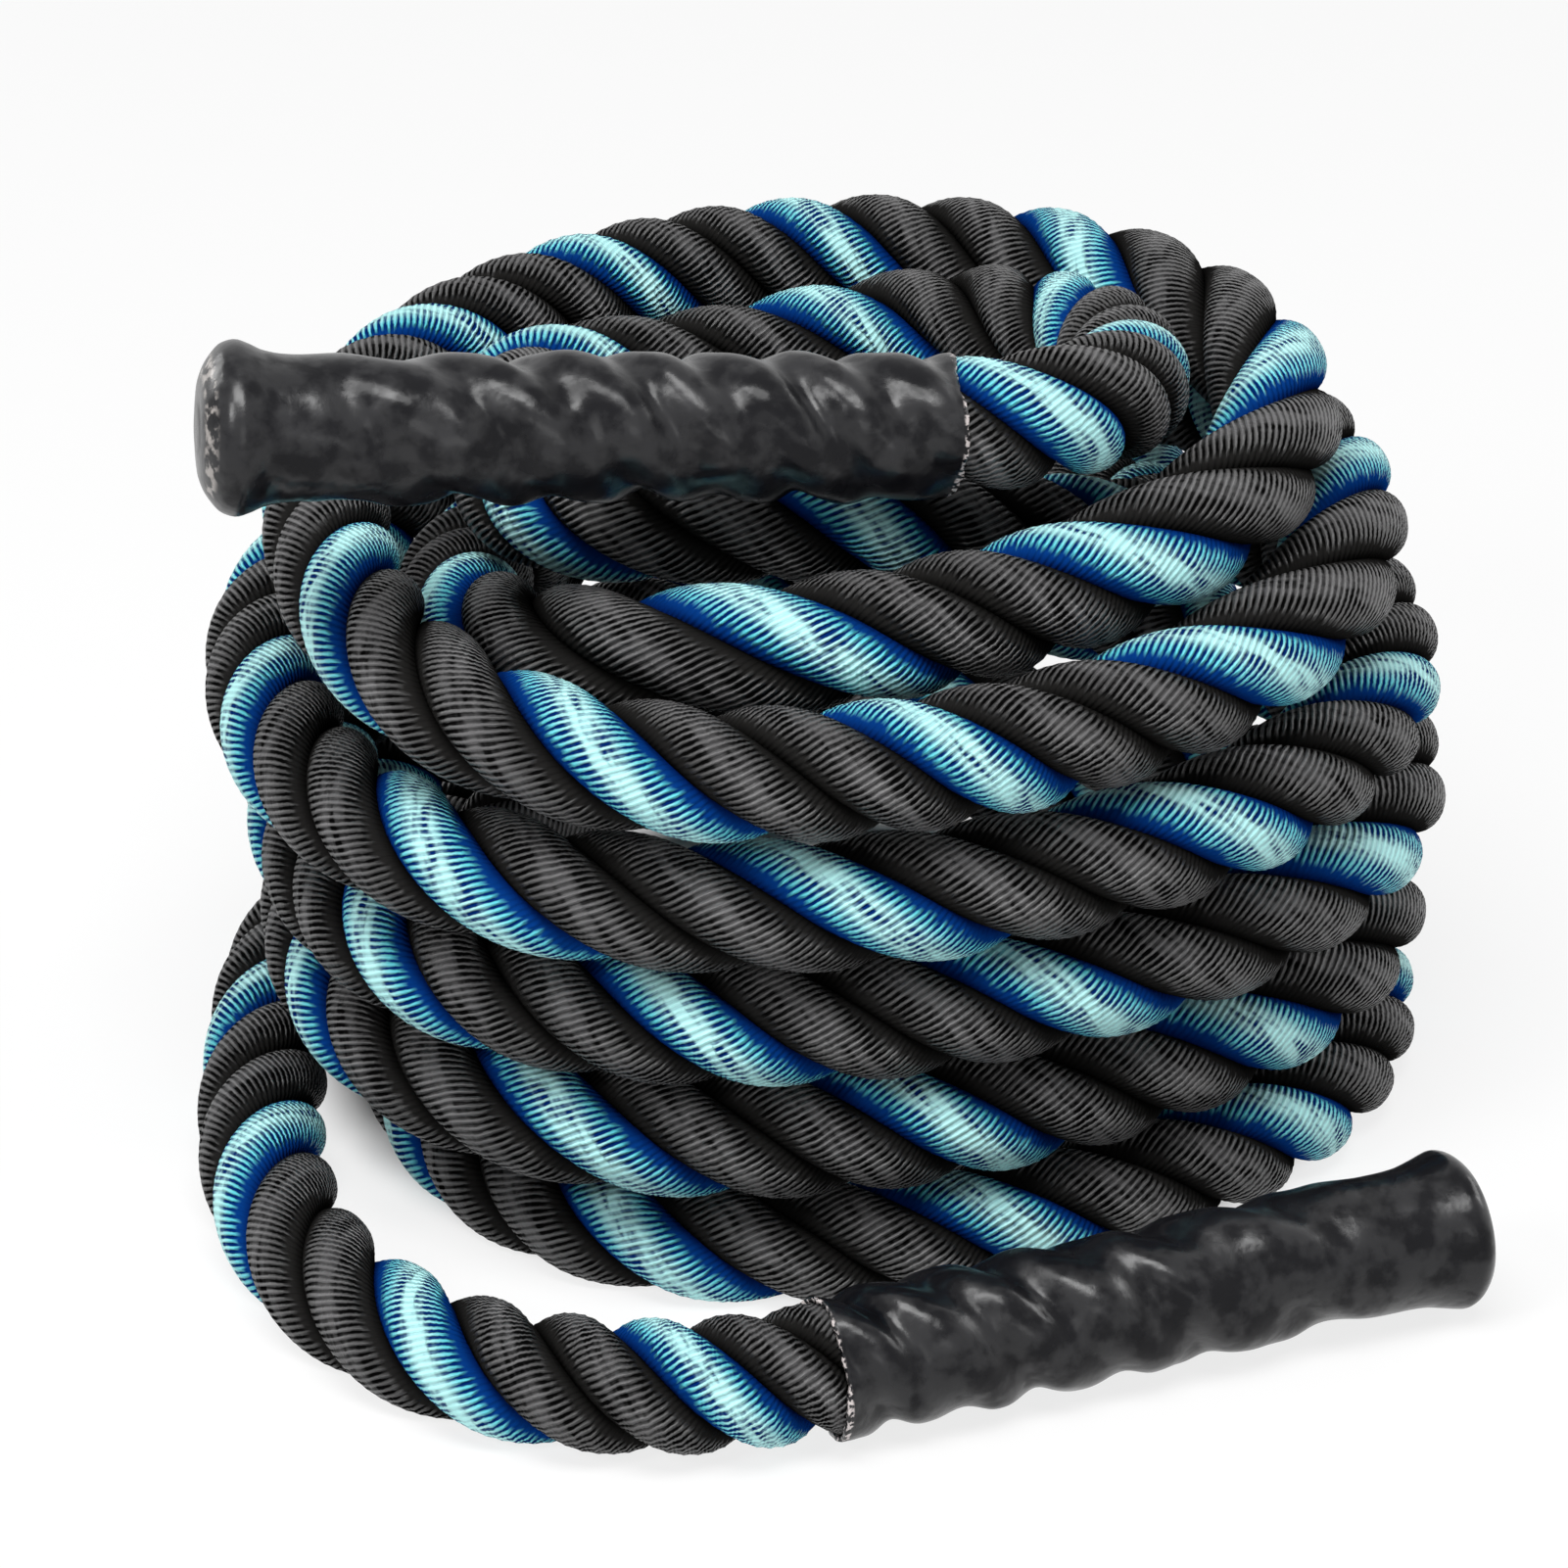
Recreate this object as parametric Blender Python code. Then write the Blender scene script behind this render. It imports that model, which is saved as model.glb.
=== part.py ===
"""Battle rope, coiled up, with a shrink-sleeve handle on each end.

Metres, +Z up. The origin is on the floor, in the middle of all that the rope covers. The rope is
followed from the handle that lies on the floor, up through the coil, to the handle across its top.
"""

import math

import bmesh
import bpy
import numpy as np
from mathutils import Vector

# Rope
ROPE_DIAMETER = 0.038
ROPE_RADIUS = ROPE_DIAMETER / 2
TURN_GAP = 0.0009
TURN_PITCH = ROPE_DIAMETER + TURN_GAP
# How far apart along the rope, in diameters, two places are before they count as different turns
APART_SHARE = 4

# Where pieces meet, and how far the lowest turns are pressed flat on the floor
FACE_GAP = 0.0003
MERGE_DISTANCE = 0.00003
END_RUN = 0.005
FLAT_SHARE = 0.1
FLAT_DEPTH = ROPE_DIAMETER * FLAT_SHARE
REST_HEIGHT = ROPE_RADIUS - FLAT_DEPTH

# Handles: a shrink sleeve drawn over each end of the rope, with a moulded bumper at its closed end.
# The sleeves are cut by hand, so their lengths differ a little.
FLOOR_HANDLE_LENGTH = 0.200
UPPER_HANDLE_LENGTH = 0.209
SLEEVE_WALL = 0.0016
SLEEVE_BORE_RADIUS = ROPE_RADIUS + FACE_GAP
SLEEVE_RADIUS = SLEEVE_BORE_RADIUS + SLEEVE_WALL
LOBE_DEPTH_SHARE = 0.5
LOBE_DEPTH = SLEEVE_WALL * LOBE_DEPTH_SHARE
LOBE_FADE = ROPE_RADIUS
FLARE_LENGTH = 0.021
FLARE_RISE = 0.0024
FLARE_RADIUS = SLEEVE_RADIUS + FLARE_RISE
LIP_LENGTH = 0.007
END_WALL = 0.0040
END_DISH = 0.0012

# Inside the handle: the three strands, the tape round them and the melted tip
STRAND_COUNT = 3
LAY_LENGTH = 0.086
STRAND_GAP = 0.0006
TAPE_WALL = 0.0006
TAPE_WIDTH = 0.018
TIP_LENGTH = 0.006
TIP_ROUNDING = 0.002
BUNDLE_RADIUS = ROPE_RADIUS - TAPE_WALL - FACE_GAP

# Points a loop and faces round each shape
LOOP_POINTS = 24
STRAND_LAY_POINTS = 16
TURNED_SIDES = 24
SLEEVE_ROW = 0.008
LIP_ANGLES = tuple(math.radians(angle) for angle in (30, 60, 80))
COIL_RESOLUTION = 1
STRAND_RESOLUTION = 2
STRETCH_RESOLUTION = 4

# The coil's middle on the floor, in turn pitches from the origin
COIL_MIDDLE_SHARES = (0.105, 0.867)

# The coil, quarter turn by quarter turn: left, back, right, front, starting on the floor at the left.
# Each entry is the reach from the middle and the layer, both in turn pitches.
COIL_STATION_SHARES = (
    (4.45, 0.00), (4.32, 0.00), (4.02, 0.00), (3.80, 0.00),
    (3.34, 0.00), (3.10, 1.06), (4.06, 0.99), (3.96, 1.00),
    (4.04, 1.00), (4.07, 1.66), (4.16, 2.01), (4.10, 2.00),
    (4.12, 2.00), (4.30, 2.69), (4.08, 3.00), (4.27, 3.00),
    (4.40, 3.05), (4.15, 3.69), (3.78, 4.09), (4.38, 4.08),
    (3.92, 4.40), (3.96, 4.70), (3.26, 4.96), (3.43, 4.62),
    (2.92, 3.58), (2.54, 3.15), (2.36, 3.98), (2.22, 5.10),
    (2.52, 4.62),
)
# How far the front of each turn leans to the left, as a share of its side reach
FRONT_SKEW_SHARE = 0.18

# Routes of the free ends, in turn pitches from the coil's middle and up from its lowest turn
TAIL_ROUTE_SHARES = (
    (-4.43, -1.92), (-4.29, -3.03), (-3.89, -4.20), (-3.19, -5.17),
    (-2.33, -5.80), (-1.50, -6.06), (-0.76, -6.06),
)
TAIL_LIFT_SHARES = (0.0, 0.0, 0.0, 0.1, 0.4, 0.8, 1.0)
FLOOR_MOUTH_SHARES = (-0.20, -5.88)
FLOOR_HANDLE_HEADING = math.radians(22.5)
LEAD_ROUTE_SHARES = (
    (-2.45, 1.65, 4.48), (-1.97, 2.21, 4.34), (-1.22, 2.60, 4.24), (-0.26, 2.78, 4.38),
    (0.72, 2.72, 4.58), (1.49, 2.13, 4.80), (1.95, 1.34, 5.00), (2.08, 0.39, 5.20),
    (2.07, -0.60, 5.45), (1.88, -1.53, 5.74), (1.46, -2.24, 5.91),
)
UPPER_MOUTH_SHARES = (0.74, -2.61, 5.98)
UPPER_HANDLE_HEADING = math.radians(190.0)
UPPER_HANDLE_RISE = math.radians(4.0)

# Finishes: a linear RGBA colour and a roughness
BLACK_YARN = ((0.022, 0.020, 0.020, 1.0), 0.80)
BLUE_YARN = ((0.040, 0.330, 0.520, 1.0), 0.80)
SLEEVE_BLACK = ((0.030, 0.030, 0.033, 1.0), 0.35)
TAPE_BLACK = ((0.010, 0.010, 0.011, 1.0), 0.50)
MELTED_BLACK = ((0.022, 0.020, 0.020, 1.0), 0.60)
STRANDS = (
    ("blue_strand", BLUE_YARN),
    ("left_black_strand", BLACK_YARN),
    ("right_black_strand", BLACK_YARN),
)
# Faces that meet at less than this angle are shaded as one round surface
SMOOTH_ANGLE = math.radians(40)


def clear_scene():
    """Removes what the scene holds at the start."""
    for item in list(bpy.data.objects):
        bpy.data.objects.remove(item, do_unlink=True)


def material(name, finish):
    """A Principled material of one colour and roughness."""
    colour, roughness = finish
    made = bpy.data.materials.new(name)
    made.use_nodes = True
    shader = made.node_tree.nodes["Principled BSDF"]
    shader.inputs["Base Color"].default_value = colour
    shader.inputs["Roughness"].default_value = roughness
    return made


def add_object(name, mesh, finish):
    """Puts a mesh in the scene as one named piece, shaded smooth but for its edges."""
    piece = bpy.data.objects.new(name, mesh)
    bpy.context.scene.collection.objects.link(piece)
    mesh.materials.clear()
    mesh.materials.append(material(name + "_finish", finish))
    mesh.shade_smooth()
    mesh.set_sharp_from_angle(angle=SMOOTH_ANGLE)
    return piece


def steady_curve(knots, values, at):
    """Reads a curve through the knots that never swings past them."""
    knots = np.asarray(knots, float)
    values = np.asarray(values, float)
    step = np.diff(knots)
    slope = np.diff(values) / step
    tangent = np.zeros(len(knots))
    rising = slope[:-1] * slope[1:] > 0
    both = np.where(rising, slope[:-1] + slope[1:], 1.0)
    tangent[1:-1] = np.where(rising, 2 * slope[:-1] * slope[1:] / both, 0.0)
    left = np.clip(np.searchsorted(knots, at, side="right") - 1, 0, len(knots) - 2)
    along = (at - knots[left]) / step[left]
    rest = 1 - along
    return (
        (1 + 2 * along) * rest**2 * values[left]
        + along * rest**2 * step[left] * tangent[left]
        + along**2 * (3 - 2 * along) * values[left + 1]
        - along**2 * rest * step[left] * tangent[left + 1]
    )


def from_middle(x, y, layer):
    """A place given in turn pitches: across from the coil's middle, and up from its lowest turn."""
    middle_x, middle_y = COIL_MIDDLE_SHARES
    place = Vector((middle_x + x, middle_y + y, layer)) * TURN_PITCH
    place.z += REST_HEIGHT
    return place


def coil_points():
    """The middle line of the wound turns, with LOOP_POINTS points a loop."""
    reach = [station[0] for station in COIL_STATION_SHARES]
    layer = [station[1] for station in COIL_STATION_SHARES]
    quarter = np.arange(len(COIL_STATION_SHARES))
    count = (len(quarter) - 1) * LOOP_POINTS // 4
    at = np.arange(count + 1) * 4 / LOOP_POINTS
    side_reach = steady_curve(quarter[0::2], reach[0::2], at)
    depth_reach = steady_curve(quarter[1::2], reach[1::2], at)
    angle = math.pi - at * math.pi / 2
    lean = FRONT_SKEW_SHARE * np.minimum(0, np.sin(angle)) ** 2
    x = side_reach * (np.cos(angle) - lean)
    y = depth_reach * np.sin(angle)
    return [from_middle(*point) for point in zip(x, y, steady_curve(quarter, layer, at))]


def straight_ends(points):
    """Adds a straight run of one rope diameter to each end of the coil, level and along its turn."""
    first = Vector((0, -ROPE_DIAMETER, 0)) + points[0]
    last = Vector((0, ROPE_DIAMETER, 0)) + points[-1]
    return [first] + points + [last]


def least_gap(points):
    """The least clear distance from one turn to another, measured between the points' spans."""
    line = np.array([tuple(point) for point in points])
    spans = np.linalg.norm(np.diff(line, axis=0), axis=1)
    along = np.concatenate([[0], np.cumsum(spans)])
    start = line[:-1]
    run = np.diff(line, axis=0)
    least = math.inf
    for index, point in enumerate(line):
        share = np.einsum("ij,ij->i", point - start, run) / spans**2
        nearest = start + np.clip(share, 0, 1)[:, None] * run
        away = np.linalg.norm(nearest - point, axis=1)
        other = np.abs(along[:-1] - along[index]) > APART_SHARE * ROPE_DIAMETER
        least = min(least, away[other].min())
    return least - ROPE_DIAMETER


def smooth_route(points, start_way, end_way):
    """A smooth curve through the points, one point for about each rope diameter, with straight ends."""
    first, last = points[0], points[-1]
    points = [first + start_way * END_RUN] + points[1:-1] + [last - end_way * END_RUN]
    route = []
    for index in range(len(points) - 1):
        here, there = points[index], points[index + 1]
        span = (there - here).length
        leave = start_way * span
        arrive = end_way * span
        if index > 0:
            leave = (there - points[index - 1]).normalized() * span
        if index < len(points) - 2:
            arrive = (points[index + 2] - here).normalized() * span
        steps = max(1, round(span / ROPE_DIAMETER))
        for step in range(steps):
            t = step / steps
            route.append(
                here * ((1 + 2 * t) * (1 - t) ** 2)
                + leave * (t * (1 - t) ** 2)
                + there * (t**2 * (3 - 2 * t))
                - arrive * (t**2 * (1 - t))
            )
    return [first] + route + [points[-1], last]


def heading_vector(heading, rise):
    """The way a handle points from its mouth, from its heading on the floor and its rise."""
    level = math.cos(rise)
    return Vector((level * math.cos(heading), level * math.sin(heading), math.sin(rise)))


def floor_handle_place():
    """The mouth and way of the handle on the floor, which rests on its mouth and on its flare."""
    rise = math.asin(FLARE_RISE / FLOOR_HANDLE_LENGTH)
    mouth = from_middle(*FLOOR_MOUTH_SHARES, 0.0)
    mouth.z = SLEEVE_RADIUS + FACE_GAP
    return mouth, heading_vector(FLOOR_HANDLE_HEADING, rise)


def upper_handle_place():
    """The mouth and way of the handle on top of the coil."""
    return from_middle(*UPPER_MOUTH_SHARES), heading_vector(UPPER_HANDLE_HEADING, UPPER_HANDLE_RISE)


def tail_points(coil_end, mouth, way):
    """From the coil's end on the floor, round its left and front, to the floor handle's mouth."""
    backward = Vector((0, -1, 0))
    points = [coil_end + backward * FACE_GAP]
    lift = mouth.z - REST_HEIGHT
    for (x, y), share in zip(TAIL_ROUTE_SHARES, TAIL_LIFT_SHARES):
        points.append(from_middle(x, y, share * lift / TURN_PITCH))
    return smooth_route(points + [mouth], backward, way)


def lead_points(coil_end, mouth, way):
    """From the coil's top end, round its back and right, to the upper handle's mouth."""
    onward = Vector((0, 1, 0))
    points = [coil_end + onward * FACE_GAP]
    points += [from_middle(*shares) for shares in LEAD_ROUTE_SHARES]
    return smooth_route(points + [mouth], onward, way)


def tube_mesh(name, points, radius, resolution):
    """A closed round tube along the points."""
    curve = bpy.data.curves.new(name + "_line", "CURVE")
    curve.dimensions = "3D"
    curve.bevel_depth = radius
    curve.bevel_resolution = resolution
    curve.use_fill_caps = True
    line = curve.splines.new("POLY")
    line.points.add(len(points) - 1)
    for spot, point in zip(line.points, points):
        spot.co = (*point, 1.0)
    guide = bpy.data.objects.new(name + "_line", curve)
    bpy.context.scene.collection.objects.link(guide)
    view = bpy.context.evaluated_depsgraph_get()
    mesh = bpy.data.meshes.new_from_object(guide.evaluated_get(view))
    bpy.data.objects.remove(guide, do_unlink=True)
    bpy.data.curves.remove(curve)
    shell = bmesh.new()
    shell.from_mesh(mesh)
    bmesh.ops.remove_doubles(shell, verts=shell.verts, dist=MERGE_DISTANCE)
    bmesh.ops.recalc_face_normals(shell, faces=shell.faces)
    shell.to_mesh(mesh)
    shell.free()
    return mesh


def floor_cutter(lines):
    """A block under the floor, wider than the lines, which presses the lowest turns flat."""
    reach = max(max(abs(point.x), abs(point.y)) for line in lines for point in line)
    width = 2 * (reach + ROPE_DIAMETER)
    shell = bmesh.new()
    bmesh.ops.create_cube(shell, size=1.0)
    bmesh.ops.scale(shell, vec=(width, width, ROPE_DIAMETER), verts=shell.verts)
    bmesh.ops.translate(shell, vec=(0, 0, -ROPE_RADIUS), verts=shell.verts)
    mesh = bpy.data.meshes.new("floor_cutter")
    shell.to_mesh(mesh)
    shell.free()
    cutter = bpy.data.objects.new("floor_cutter", mesh)
    bpy.context.scene.collection.objects.link(cutter)
    cutter.hide_render = True
    cutter.display_type = "WIRE"
    return cutter


def press_flat(piece, cutter):
    """Cuts a rope piece where it is pressed on the floor."""
    cut = piece.modifiers.new("pressed_flat", "BOOLEAN")
    cut.operation = "DIFFERENCE"
    cut.solver = "EXACT"
    cut.object = cutter


def sleeve_outline(along, length):
    """A sleeve's outer radius at a distance from its mouth, without the lobes."""
    flare_start = length - FLARE_LENGTH
    lip_start = length - LIP_LENGTH
    if along <= flare_start:
        return SLEEVE_RADIUS
    if along <= lip_start:
        share = (along - flare_start) / (lip_start - flare_start)
        return SLEEVE_RADIUS + FLARE_RISE * share**2 * (3 - 2 * share)
    share = (along - lip_start) / LIP_LENGTH
    return FLARE_RADIUS - LIP_LENGTH * (1 - math.sqrt(1 - share**2))


def sleeve_lobe(along, angle, length):
    """How far a sleeve dips at a spot, between the strands that it is shrunk onto."""
    flare_start = length - FLARE_LENGTH
    fade = max(0.0, min(1.0, along / LOBE_FADE, (flare_start - along) / LOBE_FADE))
    wave = math.cos(STRAND_COUNT * (angle - 2 * math.pi * along / LAY_LENGTH))
    return LOBE_DEPTH * fade * (1 - wave) / 2


def sleeve_rows(length):
    """Distances from the mouth of a sleeve's rings, closer together over the rounded lip."""
    lip_start = length - LIP_LENGTH
    count = math.ceil(lip_start / SLEEVE_ROW)
    body = [lip_start * row / count for row in range(count + 1)]
    return body + [lip_start + LIP_LENGTH * math.sin(angle) for angle in LIP_ANGLES]


def ring(shell, height, radius_at):
    """One ring of vertices of a turned shape, whose radius may follow the angle."""
    spots = []
    for side in range(TURNED_SIDES):
        angle = 2 * math.pi * side / TURNED_SIDES
        radius = radius_at(angle)
        spots.append(shell.verts.new((radius * math.cos(angle), radius * math.sin(angle), height)))
    return spots


def round_ring(shell, height, radius):
    """One ring of vertices, all at the same radius."""
    return ring(shell, height, lambda angle: radius)


def clear_radius(radius):
    """The corner radius of a faceted bore that leaves the round radius clear."""
    return radius / math.cos(math.pi / TURNED_SIDES)


def bridge(shell, rings):
    """Faces between each ring and the next."""
    for lower, upper in zip(rings, rings[1:]):
        for side in range(len(lower)):
            beside = (side + 1) % len(lower)
            shell.faces.new((lower[side], lower[beside], upper[beside], upper[side]))


def finish_shell(shell, name):
    """Turns a built shell into a mesh with its faces pointing out."""
    bmesh.ops.recalc_face_normals(shell, faces=shell.faces)
    mesh = bpy.data.meshes.new(name)
    shell.to_mesh(mesh)
    shell.free()
    return mesh


def sleeve_mesh(name, length):
    """The shrink sleeve: open at its mouth, with lobes, a flared bumper and a dished end wall."""
    shell = bmesh.new()
    bore_radius = clear_radius(SLEEVE_BORE_RADIUS)
    bore_end = round_ring(shell, length - END_WALL, bore_radius)
    rings = [bore_end, round_ring(shell, 0.0, bore_radius)]
    for along in sleeve_rows(length):
        outline = sleeve_outline(along, length)
        rings.append(ring(shell, along, lambda angle: outline - sleeve_lobe(along, angle, length)))
    dish_radius = FLARE_RADIUS - LIP_LENGTH - END_DISH
    rings.append(round_ring(shell, length - END_DISH, dish_radius))
    bridge(shell, rings)
    shell.faces.new(bore_end)
    shell.faces.new(rings[-1])
    return finish_shell(shell, name)


def tape_mesh(name):
    """The tape band wound round the strands just short of the melted tip."""
    shell = bmesh.new()
    inside = clear_radius(BUNDLE_RADIUS + FACE_GAP)
    rings = [
        round_ring(shell, 0.0, inside),
        round_ring(shell, 0.0, ROPE_RADIUS),
        round_ring(shell, TAPE_WIDTH, ROPE_RADIUS),
        round_ring(shell, TAPE_WIDTH, inside),
    ]
    bridge(shell, rings + rings[:1])
    return finish_shell(shell, name)


def tip_mesh(name):
    """The rope's tip, where the strands are melted into one disc."""
    shell = bmesh.new()
    rings = [
        round_ring(shell, 0.0, ROPE_RADIUS),
        round_ring(shell, TIP_LENGTH - TIP_ROUNDING, ROPE_RADIUS),
        round_ring(shell, TIP_LENGTH, ROPE_RADIUS - TIP_ROUNDING),
    ]
    bridge(shell, rings)
    shell.faces.new(rings[0])
    shell.faces.new(rings[-1])
    return finish_shell(shell, name)


def strand_sizes():
    """The strands' radius and how far their middles lie from the rope's, so that they fill the bundle."""
    spacing = 2 * math.pi / STRAND_COUNT
    turns = np.linspace(-spacing, spacing, 721)
    radius = BUNDLE_RADIUS / 2
    for _ in range(40):
        spread = BUNDLE_RADIUS - radius
        across = 2 * spread**2 * (1 - np.cos(turns + spacing))
        climb = (LAY_LENGTH * turns / (2 * math.pi)) ** 2
        radius = (math.sqrt((across + climb).min()) - STRAND_GAP) / 2
    return radius, BUNDLE_RADIUS - radius


def strand_points(first_angle, length, spread):
    """The helix of one strand inside a handle, with a right-hand lay."""
    count = math.ceil(length / LAY_LENGTH * STRAND_LAY_POINTS)
    points = []
    for step in range(count + 1):
        along = length * step / count
        angle = first_angle + 2 * math.pi * along / LAY_LENGTH
        points.append(Vector((spread * math.cos(angle), spread * math.sin(angle), along)))
    return points


def set_along(piece, mouth, way, along=0.0):
    """Places a piece that is built up the Z axis on a handle's axis, at a distance from its mouth."""
    piece.location = mouth + way * (FACE_GAP + along)
    piece.rotation_mode = "QUATERNION"
    piece.rotation_quaternion = way.to_track_quat("Z", "Y")


def square_ends(mesh, length):
    """Trims a strand's tube square to the handle's axis, at zero and at its length."""
    shell = bmesh.new()
    shell.from_mesh(mesh)
    for height, up in ((0.0, -1), (length, 1)):
        cut = bmesh.ops.bisect_plane(
            shell,
            geom=shell.verts[:] + shell.edges[:] + shell.faces[:],
            plane_co=(0, 0, height),
            plane_no=(0, 0, up),
            clear_outer=True,
        )
        edges = [item for item in cut["geom_cut"] if isinstance(item, bmesh.types.BMEdge)]
        bmesh.ops.contextual_create(shell, geom=edges)
    bmesh.ops.recalc_face_normals(shell, faces=shell.faces)
    shell.to_mesh(mesh)
    shell.free()


def build_handle(prefix, length, mouth, way):
    """One handle: sleeve, three strand ends, tape and melted tip."""
    tip_start = length - END_WALL - FACE_GAP - TIP_LENGTH
    strand_length = tip_start - FACE_GAP
    radius, spread = strand_sizes()
    before_mouth = Vector((0, 0, -ROPE_RADIUS))
    for index, (label, finish) in enumerate(STRANDS):
        name = prefix + "_" + label
        first_angle = 2 * math.pi * index / STRAND_COUNT
        points = strand_points(first_angle, strand_length + ROPE_DIAMETER, spread)
        mesh = tube_mesh(name, [point + before_mouth for point in points], radius, STRAND_RESOLUTION)
        square_ends(mesh, strand_length)
        set_along(add_object(name, mesh, finish), mouth, way)
    sleeve = add_object(prefix + "_handle_sleeve", sleeve_mesh(prefix + "_sleeve", length), SLEEVE_BLACK)
    set_along(sleeve, mouth, way)
    tape = add_object(prefix + "_end_tape", tape_mesh(prefix + "_tape"), TAPE_BLACK)
    set_along(tape, mouth, way, strand_length - TAPE_WIDTH)
    tip = add_object(prefix + "_melted_tip", tip_mesh(prefix + "_tip"), MELTED_BLACK)
    set_along(tip, mouth, way, tip_start)


def add_stretch(name, line, resolution):
    """One stretch of the rope, as a tube of its outer size."""
    return add_object(name, tube_mesh(name, line, ROPE_RADIUS, resolution), BLACK_YARN)


def build_rope(floor_place, upper_place):
    """The wound turns and the two free stretches, as the rope's outer shape without its lay."""
    turns = straight_ends(coil_points())
    print("least gap between the coil's turns: %.2f mm" % (least_gap(turns) * 1000))
    tail = tail_points(turns[0], *floor_place)
    lead = lead_points(turns[-1], *upper_place)
    cutter = floor_cutter((turns, tail))
    press_flat(add_stretch("rope_coil", turns, COIL_RESOLUTION), cutter)
    press_flat(add_stretch("rope_floor_end", tail, STRETCH_RESOLUTION), cutter)
    add_stretch("rope_upper_end", lead, STRETCH_RESOLUTION)


def main():
    clear_scene()
    floor_place = floor_handle_place()
    upper_place = upper_handle_place()
    build_rope(floor_place, upper_place)
    build_handle("floor", FLOOR_HANDLE_LENGTH, *floor_place)
    build_handle("upper", UPPER_HANDLE_LENGTH, *upper_place)


main()
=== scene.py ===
"""Looks of the coiled battle rope: three laid strands, two shrink sleeves, floor, light and camera.

Metres, +Z up, in the part's own frame. The rope is followed from the tip inside the handle on the
floor, up through the coil, to the tip inside the handle across its top.
"""

import math

import bpy
import numpy as np
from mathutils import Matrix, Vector


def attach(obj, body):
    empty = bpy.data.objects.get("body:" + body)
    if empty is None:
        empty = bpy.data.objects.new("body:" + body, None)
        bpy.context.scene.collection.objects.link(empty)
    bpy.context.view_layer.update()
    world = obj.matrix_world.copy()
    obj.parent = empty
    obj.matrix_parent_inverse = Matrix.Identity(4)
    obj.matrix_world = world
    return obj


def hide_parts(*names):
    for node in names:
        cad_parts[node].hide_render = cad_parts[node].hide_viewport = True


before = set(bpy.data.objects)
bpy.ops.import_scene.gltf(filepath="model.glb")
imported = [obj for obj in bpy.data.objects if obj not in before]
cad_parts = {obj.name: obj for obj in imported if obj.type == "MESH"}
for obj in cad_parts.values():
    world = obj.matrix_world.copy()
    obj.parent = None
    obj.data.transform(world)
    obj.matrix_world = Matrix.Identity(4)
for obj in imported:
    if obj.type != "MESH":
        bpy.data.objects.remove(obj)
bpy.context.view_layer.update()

# The rope, its turns and its handles, in the part's sizes
ROPE_DIAMETER = 0.038
ROPE_RADIUS = ROPE_DIAMETER / 2
TURN_PITCH = 0.0389
REST_HEIGHT = 0.0152
FLOOR_HANDLE_LENGTH = 0.200
UPPER_HANDLE_LENGTH = 0.209
SLEEVE_RADIUS = 0.0209
FACE_GAP = 0.0003
FLARE_RISE = 0.0024
END_RUN = 0.005
TIP_INSET = 0.005

# Each quarter turn of the coil: its reach from the middle and its layer, in turn pitches
COIL_MIDDLE_SHARES = (0.105, 0.867)
COIL_STATION_SHARES = (
    (4.45, 0.00), (4.32, 0.00), (4.02, 0.00), (3.80, 0.00),
    (3.34, 0.00), (3.10, 1.06), (4.06, 0.99), (3.96, 1.00),
    (4.04, 1.00), (4.07, 1.66), (4.16, 2.01), (4.10, 2.00),
    (4.12, 2.00), (4.30, 2.69), (4.08, 3.00), (4.27, 3.00),
    (4.40, 3.05), (4.15, 3.69), (3.78, 4.09), (4.38, 4.08),
    (3.92, 4.40), (3.96, 4.70), (3.26, 4.96), (3.43, 4.62),
    (2.92, 3.58), (2.54, 3.15), (2.36, 3.98), (2.22, 5.10),
    (2.52, 4.62),
)
FRONT_SKEW_SHARE = 0.18

# The free stretches and the handles' mouths, in turn pitches from the coil's middle
TAIL_ROUTE_SHARES = (
    (-4.43, -1.92), (-4.29, -3.03), (-3.89, -4.20), (-3.19, -5.17),
    (-2.33, -5.80), (-1.50, -6.06), (-0.76, -6.06),
)
TAIL_LIFT_SHARES = (0.0, 0.0, 0.0, 0.1, 0.4, 0.8, 1.0)
FLOOR_MOUTH_SHARES = (-0.20, -5.88)
FLOOR_HANDLE_HEADING = math.radians(22.5)
LEAD_ROUTE_SHARES = (
    (-2.45, 1.65, 4.48), (-1.97, 2.21, 4.34), (-1.22, 2.60, 4.24), (-0.26, 2.78, 4.38),
    (0.72, 2.72, 4.58), (1.49, 2.13, 4.80), (1.95, 1.34, 5.00), (2.08, 0.39, 5.20),
    (2.07, -0.60, 5.45), (1.88, -1.53, 5.74), (1.46, -2.24, 5.91),
)
UPPER_MOUTH_SHARES = (0.74, -2.61, 5.98)
UPPER_HANDLE_HEADING = math.radians(190.0)
UPPER_HANDLE_RISE = math.radians(4.0)

# How finely the coil is read, and how softly the whole line is drawn through its points: the
# softening is a bell curve, cut off at so many times its width
QUARTERS = 4
LOOP_POINTS = 120
LINE_STEP = 0.001
LINE_SOFTNESS = 0.012
SOFTNESS_REACH = 3
RING_STEP = 0.0036

# Strands: each one's piece and slot, in their order round the rope. Each fills a third of the
# rope, round outside and pressed flat on its neighbours.
STRANDS = (
    ("rope_blue_strand", "blue_yarn"),
    ("rope_first_black_strand", "black_yarn"),
    ("rope_second_black_strand", "black_yarn"),
)
STRAND_COUNT = len(STRANDS)
OUTER_POINTS = 17
FLANK_SHARES = (0.33, 0.66)
SEAM_DEPTH = 0.31
SEAM_SHARPNESS = 2.4
CORE_REACH = 0.0006
STRAND_GAP = 0.00015
FLOOR_SOFTNESS = 0.0015

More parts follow.
